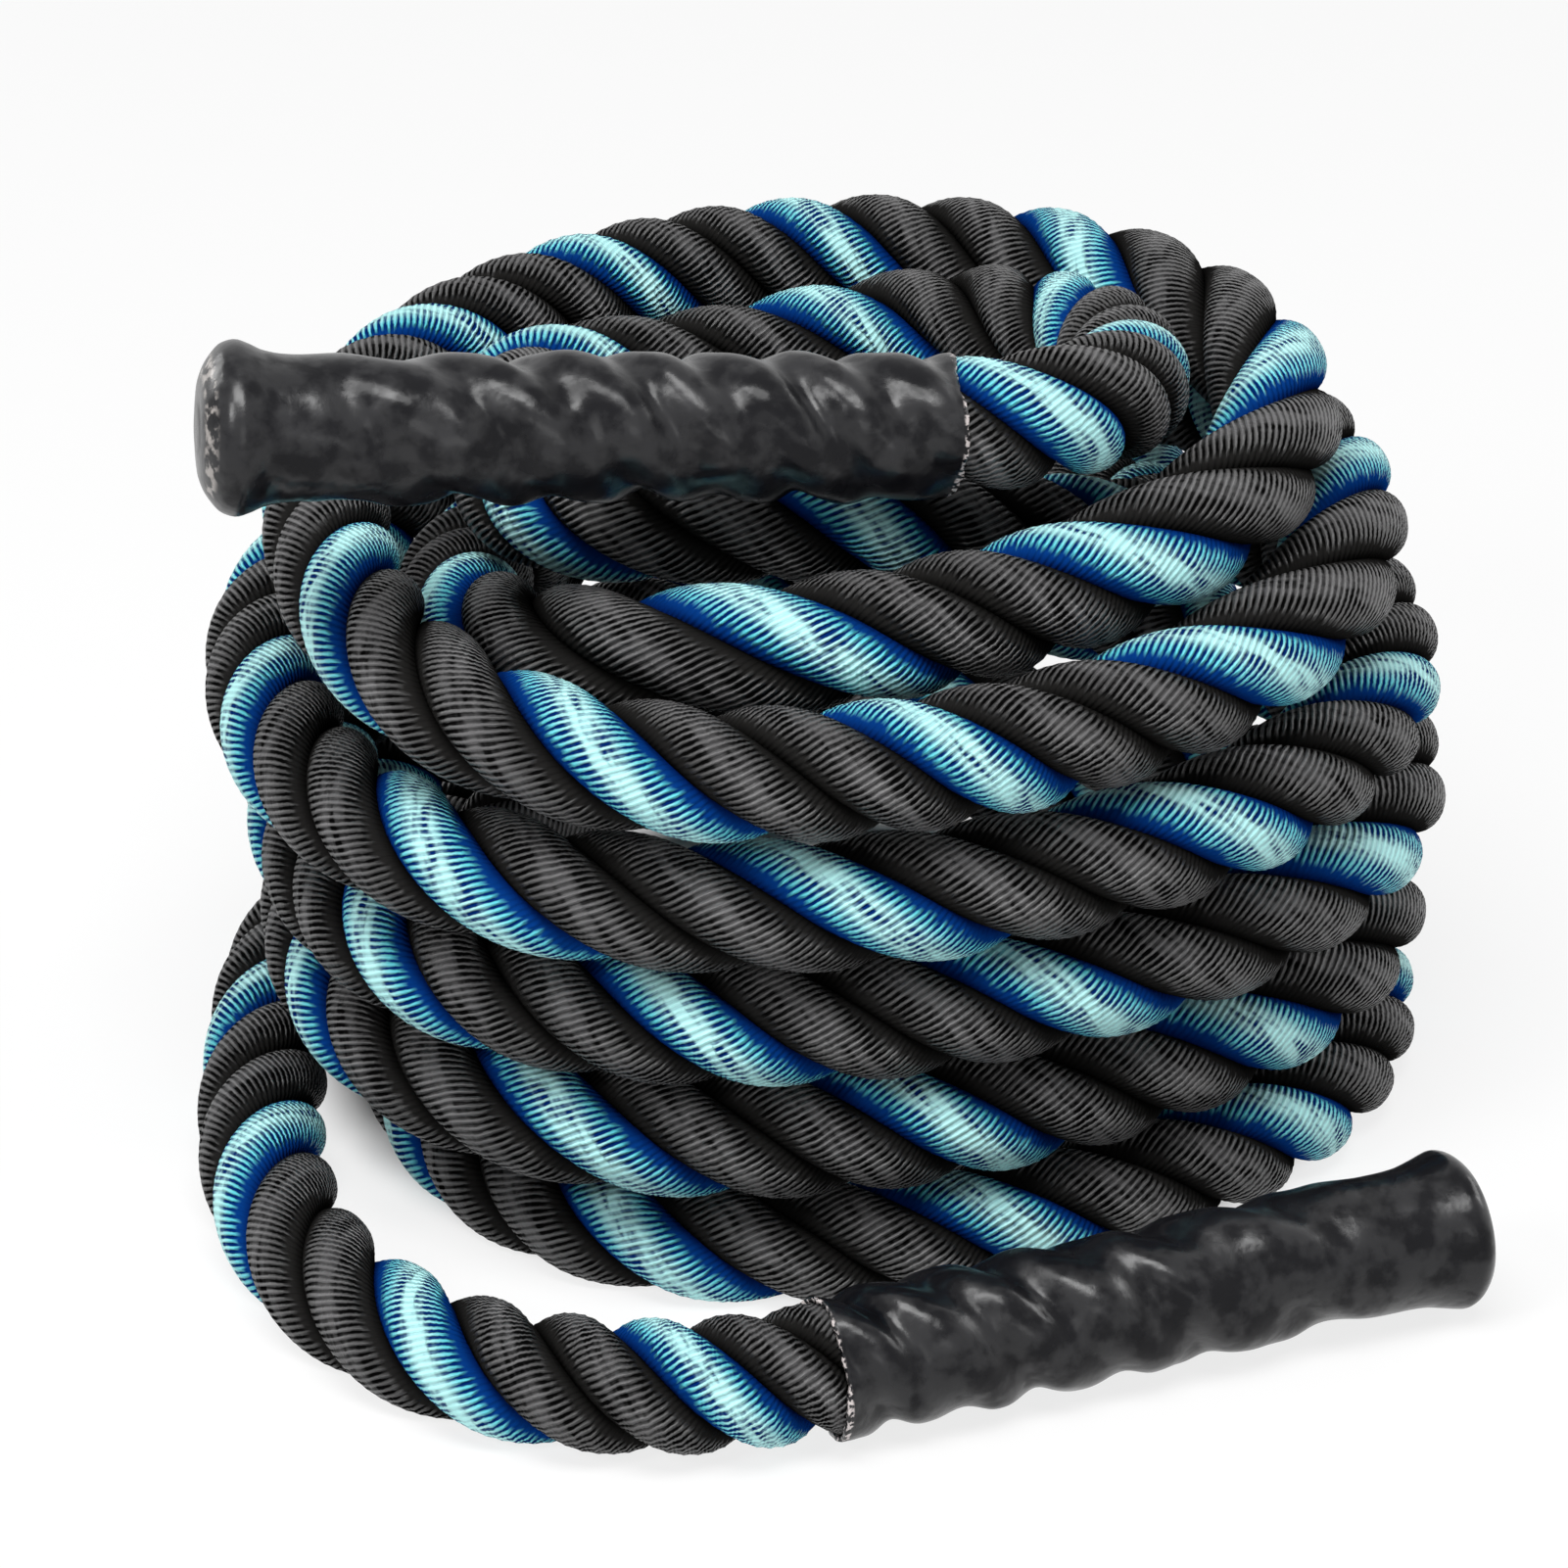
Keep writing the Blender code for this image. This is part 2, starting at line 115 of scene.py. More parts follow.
# Where the photograph shows the blue strand's crest: metres along the line, and turns made so far
TWIST_MARKS = (
    (0.000, -2.72), (0.302, 0.85), (0.421, 1.97), (1.148, 9.87), (1.346, 11.84), (1.454, 12.94),
    (1.944, 18.01), (2.048, 18.85), (2.246, 20.84), (2.368, 21.95), (2.905, 28.07), (3.113, 29.83),
    (3.308, 31.87), (3.416, 33.01), (3.985, 38.93), (4.190, 40.83), (4.417, 42.96), (4.964, 49.03),
    (5.086, 49.86), (5.270, 51.83), (5.392, 52.93), (5.569, 55.15), (5.716, 57.19), (5.809, 58.18),
    (6.051, 59.84), (6.141, 60.82), (6.277, 61.86), (6.796, 67.81), (7.044, 70.19), (7.227, 72.17),
    (7.386, 73.82), (7.614, 76.47),
)

# Yarn: ribs round a strand, and their angle to the rope's line, on the other side from the strands
RIBS_ROUND = 27
RIB_ANGLE = math.radians(28.0)

# The baking map's rows: about the way round a strand in metres, and what stays free at their edges
ROW_ROUND = 0.057
ROW_MARGIN_SHARE = 0.04
MAP_INSET = 0.002

# Camera
CAMERA_PLACE = (-0.0139, -1.7639, 0.9651)
CAMERA_TILT = math.radians(64.0)
CAMERA_LENS = 152.9
SENSOR_WIDTH = 36.0


def steady_curve(knots, values, at):
    """Reads a curve through the knots that never swings past them."""
    knots = np.asarray(knots, float)
    values = np.asarray(values, float)
    step = np.diff(knots)
    slope = np.diff(values) / step
    tangent = np.zeros(len(knots))
    rising = slope[:-1] * slope[1:] > 0
    both = np.where(rising, slope[:-1] + slope[1:], 1.0)
    tangent[1:-1] = np.where(rising, 2 * slope[:-1] * slope[1:] / both, 0.0)
    left = np.clip(np.searchsorted(knots, at, side="right") - 1, 0, len(knots) - 2)
    along = (at - knots[left]) / step[left]
    rest = 1 - along
    return (
        (1 + 2 * along) * rest**2 * values[left]
        + along * rest**2 * step[left] * tangent[left]
        + along**2 * (3 - 2 * along) * values[left + 1]
        - along**2 * rest * step[left] * tangent[left + 1]
    )


def smooth_share(value, low, high):
    """How far a value has gone from low to high, eased at both ends."""
    share = np.clip((value - low) / (high - low), 0, 1)
    return share**2 * (3 - 2 * share)


def from_middle(x, y, layer):
    """A place given in turn pitches: across from the coil's middle, and up from its lowest turn."""
    middle_x, middle_y = COIL_MIDDLE_SHARES
    place = Vector((middle_x + x, middle_y + y, layer)) * TURN_PITCH
    place.z += REST_HEIGHT
    return place


def coil_points():
    """The middle line of the wound turns."""
    reach, layer = zip(*COIL_STATION_SHARES)
    quarter = np.arange(len(COIL_STATION_SHARES))
    count = (len(quarter) - 1) * LOOP_POINTS // QUARTERS
    at = np.arange(count + 1) * QUARTERS / LOOP_POINTS
    side_reach = steady_curve(quarter[0::2], reach[0::2], at)
    depth_reach = steady_curve(quarter[1::2], reach[1::2], at)
    angle = math.pi - at * math.pi / 2
    lean = FRONT_SKEW_SHARE * np.minimum(0, np.sin(angle)) ** 2
    x = side_reach * (np.cos(angle) - lean)
    y = depth_reach * np.sin(angle)
    return [from_middle(*point) for point in zip(x, y, steady_curve(quarter, layer, at))]


def heading_vector(heading, rise):
    """The way a handle points from its mouth, from its heading on the floor and its rise."""
    level = math.cos(rise)
    return Vector((level * math.cos(heading), level * math.sin(heading), math.sin(rise)))


def floor_handle_place():
    """The mouth and way of the handle on the floor, which rests on its mouth and on its flare."""
    mouth = from_middle(*FLOOR_MOUTH_SHARES, 0.0)
    mouth.z = SLEEVE_RADIUS + FACE_GAP
    rise = math.asin(FLARE_RISE / FLOOR_HANDLE_LENGTH)
    return mouth, heading_vector(FLOOR_HANDLE_HEADING, rise)


def upper_handle_place():
    """The mouth and way of the handle on top of the coil."""
    mouth = from_middle(*UPPER_MOUTH_SHARES)
    return mouth, heading_vector(UPPER_HANDLE_HEADING, UPPER_HANDLE_RISE)


def tail_points(mouth):
    """The given points of the free stretch on the floor, from the coil to the handle."""
    lift = mouth.z - REST_HEIGHT
    pairs = zip(TAIL_ROUTE_SHARES, TAIL_LIFT_SHARES)
    return [from_middle(x, y, share * lift / TURN_PITCH) for (x, y), share in pairs]


def handle_points(mouth, way, handle_length):
    """Points along a handle's axis, from just outside its mouth to the rope's tip inside it."""
    length = handle_length - TIP_INSET
    count = math.ceil(length / END_RUN)
    return [mouth + way * (length * step / count) for step in range(-1, count + 1)]


def rope_line():
    """The middle line of the whole rope at even steps, from the floor tip to the upper tip."""
    floor_mouth, floor_way = floor_handle_place()
    upper_mouth, upper_way = upper_handle_place()
    points = handle_points(floor_mouth, floor_way, FLOOR_HANDLE_LENGTH)[::-1]
    points += tail_points(floor_mouth)[::-1]
    points += coil_points()
    points += [from_middle(*shares) for shares in LEAD_ROUTE_SHARES]
    points += handle_points(upper_mouth, upper_way, UPPER_HANDLE_LENGTH)
    knots = np.array([tuple(point) for point in points])
    spans = np.linalg.norm(np.diff(knots, axis=0), axis=1)
    along = np.concatenate([[0], np.cumsum(np.sqrt(spans))])
    slopes = np.gradient(knots, along, axis=0)
    dense = []
    for index, span in enumerate(spans):
        count = max(1, round(span / LINE_STEP))
        t = (np.arange(count) / count)[:, None]
        width = along[index + 1] - along[index]
        dense.append(
            knots[index] * ((1 + 2 * t) * (1 - t) ** 2)
            + slopes[index] * width * (t * (1 - t) ** 2)
            + knots[index + 1] * (t**2 * (3 - 2 * t))
            - slopes[index + 1] * width * (t**2 * (1 - t))
        )
    dense = even_steps(np.concatenate(dense + [knots[-1:]]), LINE_STEP)
    return even_steps(soften(dense), RING_STEP)


def line_lengths(line):
    """How far along the line each of its points lies."""
    return np.concatenate([[0], np.cumsum(np.linalg.norm(np.diff(line, axis=0), axis=1))])


def even_steps(line, step):
    """The same line, read at even distances."""
    along = line_lengths(line)
    at = np.linspace(0, along[-1], round(along[-1] / step) + 1)
    return np.stack([np.interp(at, along, line[:, axis]) for axis in range(3)], axis=1)


def soften(line):
    """Evens out the line's bends over a short length, but keeps the handles' straight axes."""
    reach = round(SOFTNESS_REACH * LINE_SOFTNESS / LINE_STEP)
    offsets = np.arange(-reach, reach + 1) * LINE_STEP
    weights = np.exp(-0.5 * (offsets / LINE_SOFTNESS) ** 2)
    weights /= weights.sum()
    padded = np.concatenate([
        2 * line[0] - line[reach:0:-1],
        line,
        2 * line[-1] - line[-2 : -reach - 2 : -1],
    ])
    columns = [np.convolve(padded[:, axis], weights, mode="valid") for axis in range(3)]
    return np.stack(columns, axis=1)


def across(onward):
    """For a way onward, or for rows of them: the way up across it and the way to its side."""
    side = np.cross(onward, (0.0, 0.0, 1.0))
    side /= np.linalg.norm(side, axis=-1, keepdims=True)
    return np.cross(side, onward), side


def strand_section():
    """A strand's outline across the rope: its outward and sideways offsets from the rope's line.

    It starts at the innermost point and runs sideways to the crest, which is halfway.
    """
    half = math.pi / STRAND_COUNT
    turn = np.linspace(-half, half, OUTER_POINTS)
    reach = ROPE_RADIUS * (1 - SEAM_DEPTH * np.abs(turn / half) ** SEAM_SHARPNESS)
    flank = reach[0] * np.array(FLANK_SHARES)
    reach = np.concatenate([[CORE_REACH], flank, reach, flank[::-1]])
    turn = np.concatenate([[0], np.full(len(flank), -half), turn, np.full(len(flank), half)])
    outward = reach * np.cos(turn)
    sideways = reach * np.sin(turn)
    clear = outward * math.sin(half) - np.abs(sideways) * math.cos(half)
    press = np.where(reach > CORE_REACH, np.maximum(0, STRAND_GAP - clear), 0)
    outward = outward + press * math.sin(half)
    sideways = sideways - np.sign(sideways) * press * math.cos(half)
    return outward, sideways


def section_shares():
    """How far round a strand each point of its outline lies, and the outline's whole length."""
    outline = np.stack(strand_section(), axis=1)
    sides = np.linalg.norm(np.roll(outline, -1, axis=0) - outline, axis=1)
    return np.concatenate([[0], np.cumsum(sides)]) / sides.sum(), float(sides.sum())


def rope_twist(line):
    """How far the strands have turned about the rope at each point of the line, in radians."""
    along, turns = zip(*TWIST_MARKS)
    return 2 * math.pi * steady_curve(along, turns, np.minimum(line_lengths(line), along[-1]))


def strand_rings(line, first_angle):
    """The rings of one strand, as rows of points, pressed flat where they meet the floor."""
    onward = np.gradient(line, axis=0)
    up, side = across(onward / np.linalg.norm(onward, axis=1)[:, None])
    outward, sideways = strand_section()
    angle = (rope_twist(line) + first_angle)[:, None]
    away = outward * np.cos(angle) - sideways * np.sin(angle)
    round_by = outward * np.sin(angle) + sideways * np.cos(angle)
    rings = line[:, None] + away[..., None] * up[:, None] + round_by[..., None] * side[:, None]
    low = rings[..., 2] / FLOOR_SOFTNESS
    rings[..., 2] = FLOOR_SOFTNESS * np.logaddexp(0, low)
    return rings


def grid_mesh(name, rings):
    """A closed tube through the rings, with capped ends."""
    rows, sides = rings.shape[:2]
    corner = np.arange(rows * sides).reshape(rows, sides)
    beside = np.roll(corner, -1, axis=1)
    quads = np.stack([corner[:-1], beside[:-1], beside[1:], corner[1:]], axis=-1).reshape(-1, 4)
    mesh = bpy.data.meshes.new(name)
    faces = quads.tolist() + [corner[0][::-1].tolist(), corner[-1].tolist()]
    mesh.from_pydata(rings.reshape(-1, 3).tolist(), [], faces)
    mesh.update()
    mesh.shade_smooth()
    return mesh


def add_tube_map(mesh, name, low_u, high_u, low_v, high_v, cap_spot):
    """A UV map in which u runs along a tube and v round it, and each cap lies on one spot."""
    low_u, high_u, low_v, high_v = np.broadcast_arrays(low_u, high_u, low_v, high_v)
    u = np.stack([low_u, low_u, high_u, high_u], axis=-1).reshape(-1)
    v = np.stack([low_v, high_v, high_v, low_v], axis=-1).reshape(-1)
    caps = np.tile(np.array(cap_spot), 2 * low_u.shape[1])
    layer = mesh.uv_layers.new(name=name)
    layer.data.foreach_set("uv", np.concatenate([np.stack([u, v], axis=-1).reshape(-1), caps]))


def add_yarn_maps(mesh, line, share):
    """Two maps: Yarn gives the ribs' run and the share round; OFBake lays the tube out in rows."""
    along = line_lengths(line)
    run = (ROPE_RADIUS * rope_twist(line) + math.tan(RIB_ANGLE) * along)[:, None]
    add_tube_map(mesh, "Yarn", run[:-1], run[1:], share[:-1], share[1:], (0.0, 0.5))
    lay_out_rows(mesh, along, share)


def lay_out_rows(mesh, along, share):
    """The OFBake map: the tube cut into equal lengths, one above the other in a square."""
    spans = len(along) - 1
    bands = max(1, round(math.sqrt(along[-1] / ROW_ROUND)))
    band = np.minimum(np.arange(spans) * bands // spans, bands - 1)
    first = np.array([np.argmax(band == index) for index in range(bands)])
    start = along[first][band]
    width = along[np.append(first[1:], spans)][band] - start
    low = MAP_INSET + (1 - 2 * MAP_INSET) * ((along[:-1] - start) / width)[:, None]
    high = MAP_INSET + (1 - 2 * MAP_INSET) * ((along[1:] - start) / width)[:, None]
    base = band[:, None] / bands
    rise = (ROW_MARGIN_SHARE + (1 - 2 * ROW_MARGIN_SHARE) * share) / bands
    cap_spot = (MAP_INSET / 2, MAP_INSET / 2)
    add_tube_map(mesh, "OFBake", low, high, base + rise[:-1], base + rise[1:], cap_spot)


def add_piece(name, mesh, material):
    """Puts a mesh in the scene as a piece that rides with the part."""
    piece = bpy.data.objects.new(name, mesh)
    bpy.context.scene.collection.objects.link(piece)
    mesh.materials.append(material)
    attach(piece, "root")
    return piece


def add_camera():
    """The camera at the photograph's angle."""
    data = bpy.data.cameras.new("camera")
    data.lens = CAMERA_LENS
    data.sensor_width = SENSOR_WIDTH
    camera = bpy.data.objects.new("camera", data)
    camera.location = CAMERA_PLACE
    camera.rotation_euler = (CAMERA_TILT, 0, 0)
    bpy.context.scene.collection.objects.link(camera)
    bpy.context.scene.camera = camera


def grey(value):
    """A plain grey."""
    return (value, value, value, 1)


class Nodes:
    """Builds a material's node tree with short calls."""

    # The colour inputs and the colour output of a Mix node
    MIX_COLOURS = (6, 7)
    MIX_RESULT = 2

    def __init__(self, name):
        self.material = bpy.data.materials.new(name)
        self.material.use_nodes = True
        self.tree = self.material.node_tree
        self.shader = self.tree.nodes["Principled BSDF"]

    def put(self, socket, value):
        """Links a socket, or sets a plain value, on an input."""
        if isinstance(value, bpy.types.NodeSocket):
            self.tree.links.new(value, socket)
        else:
            socket.default_value = value

    def shade(self, name, value):
        """Links or sets one of the shader's inputs."""
        self.put(self.shader.inputs[name], value)

    def add(self, kind, *values, **settings):
        """A new node with its settings, and with values on its first inputs."""
        node = self.tree.nodes.new(kind)
        for name, setting in settings.items():
            setattr(node, name, setting)
        for socket, value in zip(node.inputs, values):
            self.put(socket, value)
        return node

    def math(self, operation, *values):
        """A Math node's result."""
        return self.add("ShaderNodeMath", *values, operation=operation).outputs[0]

    def times(self, one, other):
        """The product of two values."""
        return self.math("MULTIPLY", one, other)

    def swing(self, noise, size, value):
        """A value that a noise moves up and down, by up to half a size each way."""
        return self.math("MULTIPLY_ADD", self.math("SUBTRACT", noise, 0.5), size, value)

    def smooth(self, value, low, high, to_low=0.0, to_high=1.0):
        """A smooth step of a value from low to high."""
        values = (value, low, high, to_low, to_high)
        node = self.add("ShaderNodeMapRange", *values, interpolation_type="SMOOTHSTEP")
        return node.outputs[0]

    def mix(self, share, one, other):
        """A mix of two colours."""
        node = self.add("ShaderNodeMix", share, data_type="RGBA")
        for index, colour in zip(self.MIX_COLOURS, (one, other)):
            self.put(node.inputs[index], colour)
        return node.outputs[self.MIX_RESULT]

    def noise(self, vector, scale, detail=2.0, roughness=0.5):
        """A noise texture's value."""
        node = self.add("ShaderNodeTexNoise")
        self.put(node.inputs["Vector"], vector)
        node.inputs["Scale"].default_value = scale
        node.inputs["Detail"].default_value = detail
        node.inputs["Roughness"].default_value = roughness
        return node.outputs["Fac"]

    def map_parts(self, name):
        """The two numbers of a UV map."""
        node = self.add("ShaderNodeUVMap", uv_map=name)
        parts = self.add("ShaderNodeSeparateXYZ", node.outputs[0])
        return parts.outputs[0], parts.outputs[1]

    def vector(self, x, y):
        """A vector from two numbers."""
        return self.add("ShaderNodeCombineXYZ", x, y).outputs[0]

    def place(self):
        """The place on the object, in metres."""
        return self.add("ShaderNodeTexCoord").outputs["Object"]

    def bump(self, height, distance, strength):
        """Surface relief from a height in shares of a distance."""
        node = self.add("ShaderNodeBump")
        node.inputs["Strength"].default_value = strength
        node.inputs["Distance"].default_value = distance
        self.put(node.inputs["Height"], height)
        self.shade("Normal", node.outputs[0])


# Unevenness of the yarn: how fast each noise changes, and how far it moves what it acts on. The
# ribs wander along their run, and each rib's ends lie a little further in or out.
WANDER_PACE = 38.0
WANDER_RIBS = 1.1
FIBRE_PACES = (5.0, 71.0)
FIBRE_DETAIL = 3.0
FIBRE_ROUGHNESS = 0.65
FIBRE_SWING = 0.9
PATCH_PACES = (60.0, 9.0)
PATCH_SWING = 1.3
RIB_END_PACE = 23.0
RIB_END_SCALE = 0.9
RIB_END_SWING = 0.22

# Bands of a strand's face, from its crest at 0 to its seam at 1: where each begins and is full
# Where the ribbed face gives way to the painted shade by the seam
RAISED_BAND = (0.48, 0.36)
# Where the painted highlight on the crest begins and is full
CREST_HIGHLIGHT_BAND = (0.38, 0.10)
# Where painted highlight starts to fill the grooves near the crest, and where it is full
GROOVE_LIGHT_BAND = (0.28, 0.06)
# Painted shade by the seam, from the edge shade to the deeper shade at the seam
SEAM_SHADE_BAND = (0.62, 0.46)

# Ridges of the ribs that take painted highlight, patches where painted highlight fills the grooves
# near the crest and flattens their relief, and the relief in metres
PAINTED_LIT_RIDGES = (0.16, 0.74)
GROOVE_LIGHT_PATCHES = (0.36, 0.58)
FULL_GROOVE_LIGHT = 0.8
SKIRT_RELIEF_SHARE = 0.3
GROOVE_LIGHT_RELIEF_SHARE = 0.45
FIBRE_RELIEF_SHARE = 0.45
YARN_RELIEF = 0.0011
GROOVE_DULLNESS = 0.25
RIB_GLOSS = 0.5

# Colours of the yarns: painted highlight on the crest, middle beside it, painted shade at the edge
# and deeper painted shade towards the seam, and painted shade in the groove between the ribs; and
# how far the painted highlight fills the grooves near the crest
YARN_LOOKS = {
    "blue_yarn": {
        "crest_highlight": (0.50, 0.94, 0.93, 1),
        "middle": (0.105, 0.66, 0.76, 1),
        "edge_shade": (0.002, 0.036, 0.19, 1),
        "deep_shade": (0.001, 0.014, 0.105, 1),
        "groove_shade": (0.001, 0.020, 0.14, 1),
        "roughness": 0.42,
        "groove_light_level": 0.75,
    },
    "black_yarn": {
        "crest_highlight": (0.112, 0.110, 0.112, 1),
        "middle": (0.046, 0.045, 0.045, 1),
        "edge_shade": (0.014, 0.0135, 0.013, 1),
        "deep_shade": (0.005, 0.0048, 0.0045, 1),
        "groove_shade": grey(0.0025),
        "roughness": 0.40,
        "groove_light_level": 0.35,
    },
}


def yarn_material(name, crest_highlight, middle, edge_shade, deep_shade, groove_shade, roughness, groove_light_level):
    """Twisted yarn: fine ribs across the strand, painted highlight on its crest and ribs, painted
    shade in the grooves, and plain painted shade at its seams.
    """
    nodes = Nodes(name)
    run, round_share = nodes.map_parts("Yarn")
    wander = nodes.noise(nodes.vector(nodes.times(run, WANDER_PACE), round_share), 1.0)
    wander = nodes.swing(wander, WANDER_RIBS, 0.0)
    ribs = nodes.math("MULTIPLY_ADD", run, RIBS_ROUND / section_shares()[1], wander)
    ribs = nodes.math("MULTIPLY_ADD", round_share, float(RIBS_ROUND), ribs)
    wave = nodes.math("SINE", nodes.times(ribs, 2 * math.pi))
    ridge = nodes.math("MULTIPLY_ADD", wave, 0.5, 0.5)

    by_rib, by_run = FIBRE_PACES
    fibre_place = nodes.vector(nodes.times(ribs, by_rib), nodes.times(run, by_run))
    fibre = nodes.noise(fibre_place, 1.0, FIBRE_DETAIL, FIBRE_ROUGHNESS)
    by_run, by_share = PATCH_PACES
    patch_place = nodes.vector(nodes.times(run, by_run), nodes.times(round_share, by_share))
    patch = nodes.noise(patch_place, 1.0)
    tips = nodes.noise(nodes.vector(ribs, nodes.times(run, RIB_END_PACE)), RIB_END_SCALE, 1.0)

    from_crest = nodes.math("ABSOLUTE", nodes.math("MULTIPLY_ADD", round_share, 2.0, -1.0))
    raised = nodes.smooth(nodes.swing(tips, RIB_END_SWING, from_crest), *RAISED_BAND)
    # Painted highlight fills the grooves near the crest in patches, and the relief is flatter there
    near_crest = nodes.smooth(from_crest, *GROOVE_LIGHT_BAND, 0.0, groove_light_level)
    painted_groove_light = nodes.times(near_crest, nodes.smooth(patch, *GROOVE_LIGHT_PATCHES))
    rough_ridge = nodes.swing(patch, PATCH_SWING, nodes.swing(fibre, FIBRE_SWING, ridge))
    # Painted highlight on the ribs' ridges; between them the grooves take painted shade
    painted_rib_light = nodes.smooth(rough_ridge, *PAINTED_LIT_RIDGES, painted_groove_light)

    # Tone of the painted highlight on the lit ribs: brightest on the crest, the middle tone beside
    # it
    tone = nodes.mix(nodes.smooth(from_crest, *CREST_HIGHLIGHT_BAND), middle, crest_highlight)
    # Painted shade towards the seam, deepest at the seam itself
    seam_shade = nodes.mix(nodes.smooth(from_crest, *SEAM_SHADE_BAND), deep_shade, edge_shade)
    # Off the raised face the painted seam shade; on it painted shade in the grooves and painted
    # highlight on the lit ribs
    nodes.shade("Base Color", nodes.mix(raised, seam_shade, nodes.mix(painted_rib_light, groove_shade, tone)))
    nodes.shade("Roughness", nodes.smooth(painted_rib_light, 0.0, 1.0, roughness + GROOVE_DULLNESS, roughness))
    nodes.shade("Specular IOR Level", nodes.times(nodes.times(painted_rib_light, raised), RIB_GLOSS))

    depth = nodes.times(
        nodes.smooth(raised, 0.0, 1.0, SKIRT_RELIEF_SHARE, 1.0),
        nodes.smooth(painted_groove_light, 0.0, FULL_GROOVE_LIGHT, 1.0, GROOVE_LIGHT_RELIEF_SHARE),
    )
    relief = nodes.math("MULTIPLY_ADD", fibre, FIBRE_RELIEF_SHARE, ridge)
    nodes.bump(nodes.times(relief, depth), YARN_RELIEF, 1.0)
    return nodes.material


def make_rope():
    """The three strands of one rope."""
    line = rope_line()
    share = section_shares()[0]
    materials = {slot: yarn_material(slot, **look) for slot, look in YARN_LOOKS.items()}
    for index, (name, slot) in enumerate(STRANDS):
        mesh = grid_mesh(name, strand_rings(line, 2 * math.pi * index / STRAND_COUNT))
        add_yarn_maps(mesh, line, share)
        add_piece(name, mesh, materials[slot])
    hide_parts("floor_blue_strand", "upper_blue_strand")
    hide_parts("rope_coil", "rope_floor_end", "rope_upper_end")
    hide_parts("floor_left_black_strand", "upper_left_black_strand")
    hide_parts("floor_right_black_strand", "upper_right_black_strand")
    return line


# Handle sleeves, shrunk over the strands: broad lumps with narrow valleys, which fade out towards
# the neck. The sleeve turns in at its mouth, and its wall shows there.
SLEEVE_CREST_RADIUS = 0.0208
SLEEVE_NECK_RADIUS = 0.0199
SLEEVE_VALLEY_DEPTH = 0.0034
VALLEY_SHARPNESS = 3.0
VALLEY_LEVEL = 0.85
VALLEY_SWING = 0.3
VALLEY_PACE = 23.0
LUMP_FADE_START = 0.050
LUMP_FADE_END = 0.030
SLEEVE_ROW = 0.0014
SLEEVE_SIDES = 96
SLEEVE_INSIDE = 0.012
INSIDE_ROWS = 6
SLEEVE_WALL = 0.0013
END_ROWS = 30
END_ROW_EASE = 1.6

# Its unevenness, as slow waves (turns round, waves a metre, phase, size), which is calmer at the
# closed end, and the raggedness of the cut at its mouth, which fades over a short run
SLEEVE_WAVES = (
    (1, 9.0, 0.4, 0.00028), (2, -14.0, 1.7, 0.00024), (3, 31.0, 2.9, 0.00020),
    (2, 41.0, 4.4, 0.00018), (5, -47.0, 0.8, 0.00014), (4, 63.0, 5.1, 0.00010),
    (7, 22.0, 3.3, 0.00008), (6, -88.0, 1.1, 0.00006),
)
CALM_SHARE = 0.35
MOUTH_WAVES = (
    (2, 0.0, 0.5, 0.0007), (5, 0.0, 1.9, 0.0004), (11, 0.0, 0.3, 0.00025),
    (23, 0.0, 2.2, 0.00018),
)
MOUTH_RUN = 0.01

# Each closed end: distance from its tip and radius, from the rounded cap over the ridge to the neck
FLOOR_END_PROFILE = (
    (0.0, 0.008), (0.001, 0.015), (0.003, 0.020), (0.0065, 0.0226), (0.008, 0.0229),
    (0.0095, 0.0226), (0.014, 0.0214), (0.020, 0.0203), (0.027, 0.0199),
)
UPPER_END_PROFILE = (
    (0.0, 0.007), (0.0008, 0.014), (0.0035, 0.0196), (0.007, 0.0231), (0.0105, 0.0240),
    (0.014, 0.0230), (0.018, 0.0212), (0.023, 0.0202), (0.029, 0.0199),
)

# Each handle: its length, closed end, phase of its unevenness, material, and how worn its end is
HANDLES = {
    "floor": (FLOOR_HANDLE_LENGTH, FLOOR_END_PROFILE, 0.0, "shrink_sleeve", 0.0),
    "upper": (UPPER_HANDLE_LENGTH, UPPER_END_PROFILE, 2.1, "worn_shrink_sleeve", 0.8),
}

# Points of the rope's line as near as this to a handle's axis lie inside that handle
AXIS_REACH = 0.004


def handle_twist(line, mouth, way, from_start):
    """How far the strands have turned at a distance from a handle's mouth, seen from the mouth."""
    axis = np.array(way)
    from_mouth = line - np.array(mouth)
    spots = from_mouth @ axis
    off_axis = np.linalg.norm(from_mouth - spots[:, None] * axis, axis=1)
    own_half = (np.arange(len(line)) < len(line) // 2) == from_start
    own = np.nonzero((spots > 0) & (off_axis < AXIS_REACH) & own_half)[0]
    own = own[np.argsort(spots[own])]
    turned = rope_twist(line)[own] * (-1 if from_start else 1)
    return lambda along: np.interp(along, spots[own], turned)


def hand_noise(angle, along, waves, phase):
    """A smooth unevenness, as a sum of slow waves, all shifted by one phase."""
    total = 0.0
    for turns, per_metre, start, size in waves:
        wave = np.sin(turns * angle + 2 * math.pi * per_metre * along + (start + phase))
        total = total + size * wave
    return total


def valley_share(angle, turned):
    """How far each spot of a sleeve lies in a valley between two strands, from 0 to 1."""
    from_strand = angle[None, :] - turned[:, None]
    return np.abs(np.sin(STRAND_COUNT / 2 * from_strand)) ** VALLEY_SHARPNESS


def ragged_spots(along, ragged):
    """The distance of each spot from the mouth, with the ragged cut fading out behind it."""
    fade = np.clip(1 - along / MOUTH_RUN, 0, 1)
    return along[:, None] + ragged[None, :] * fade[:, None]


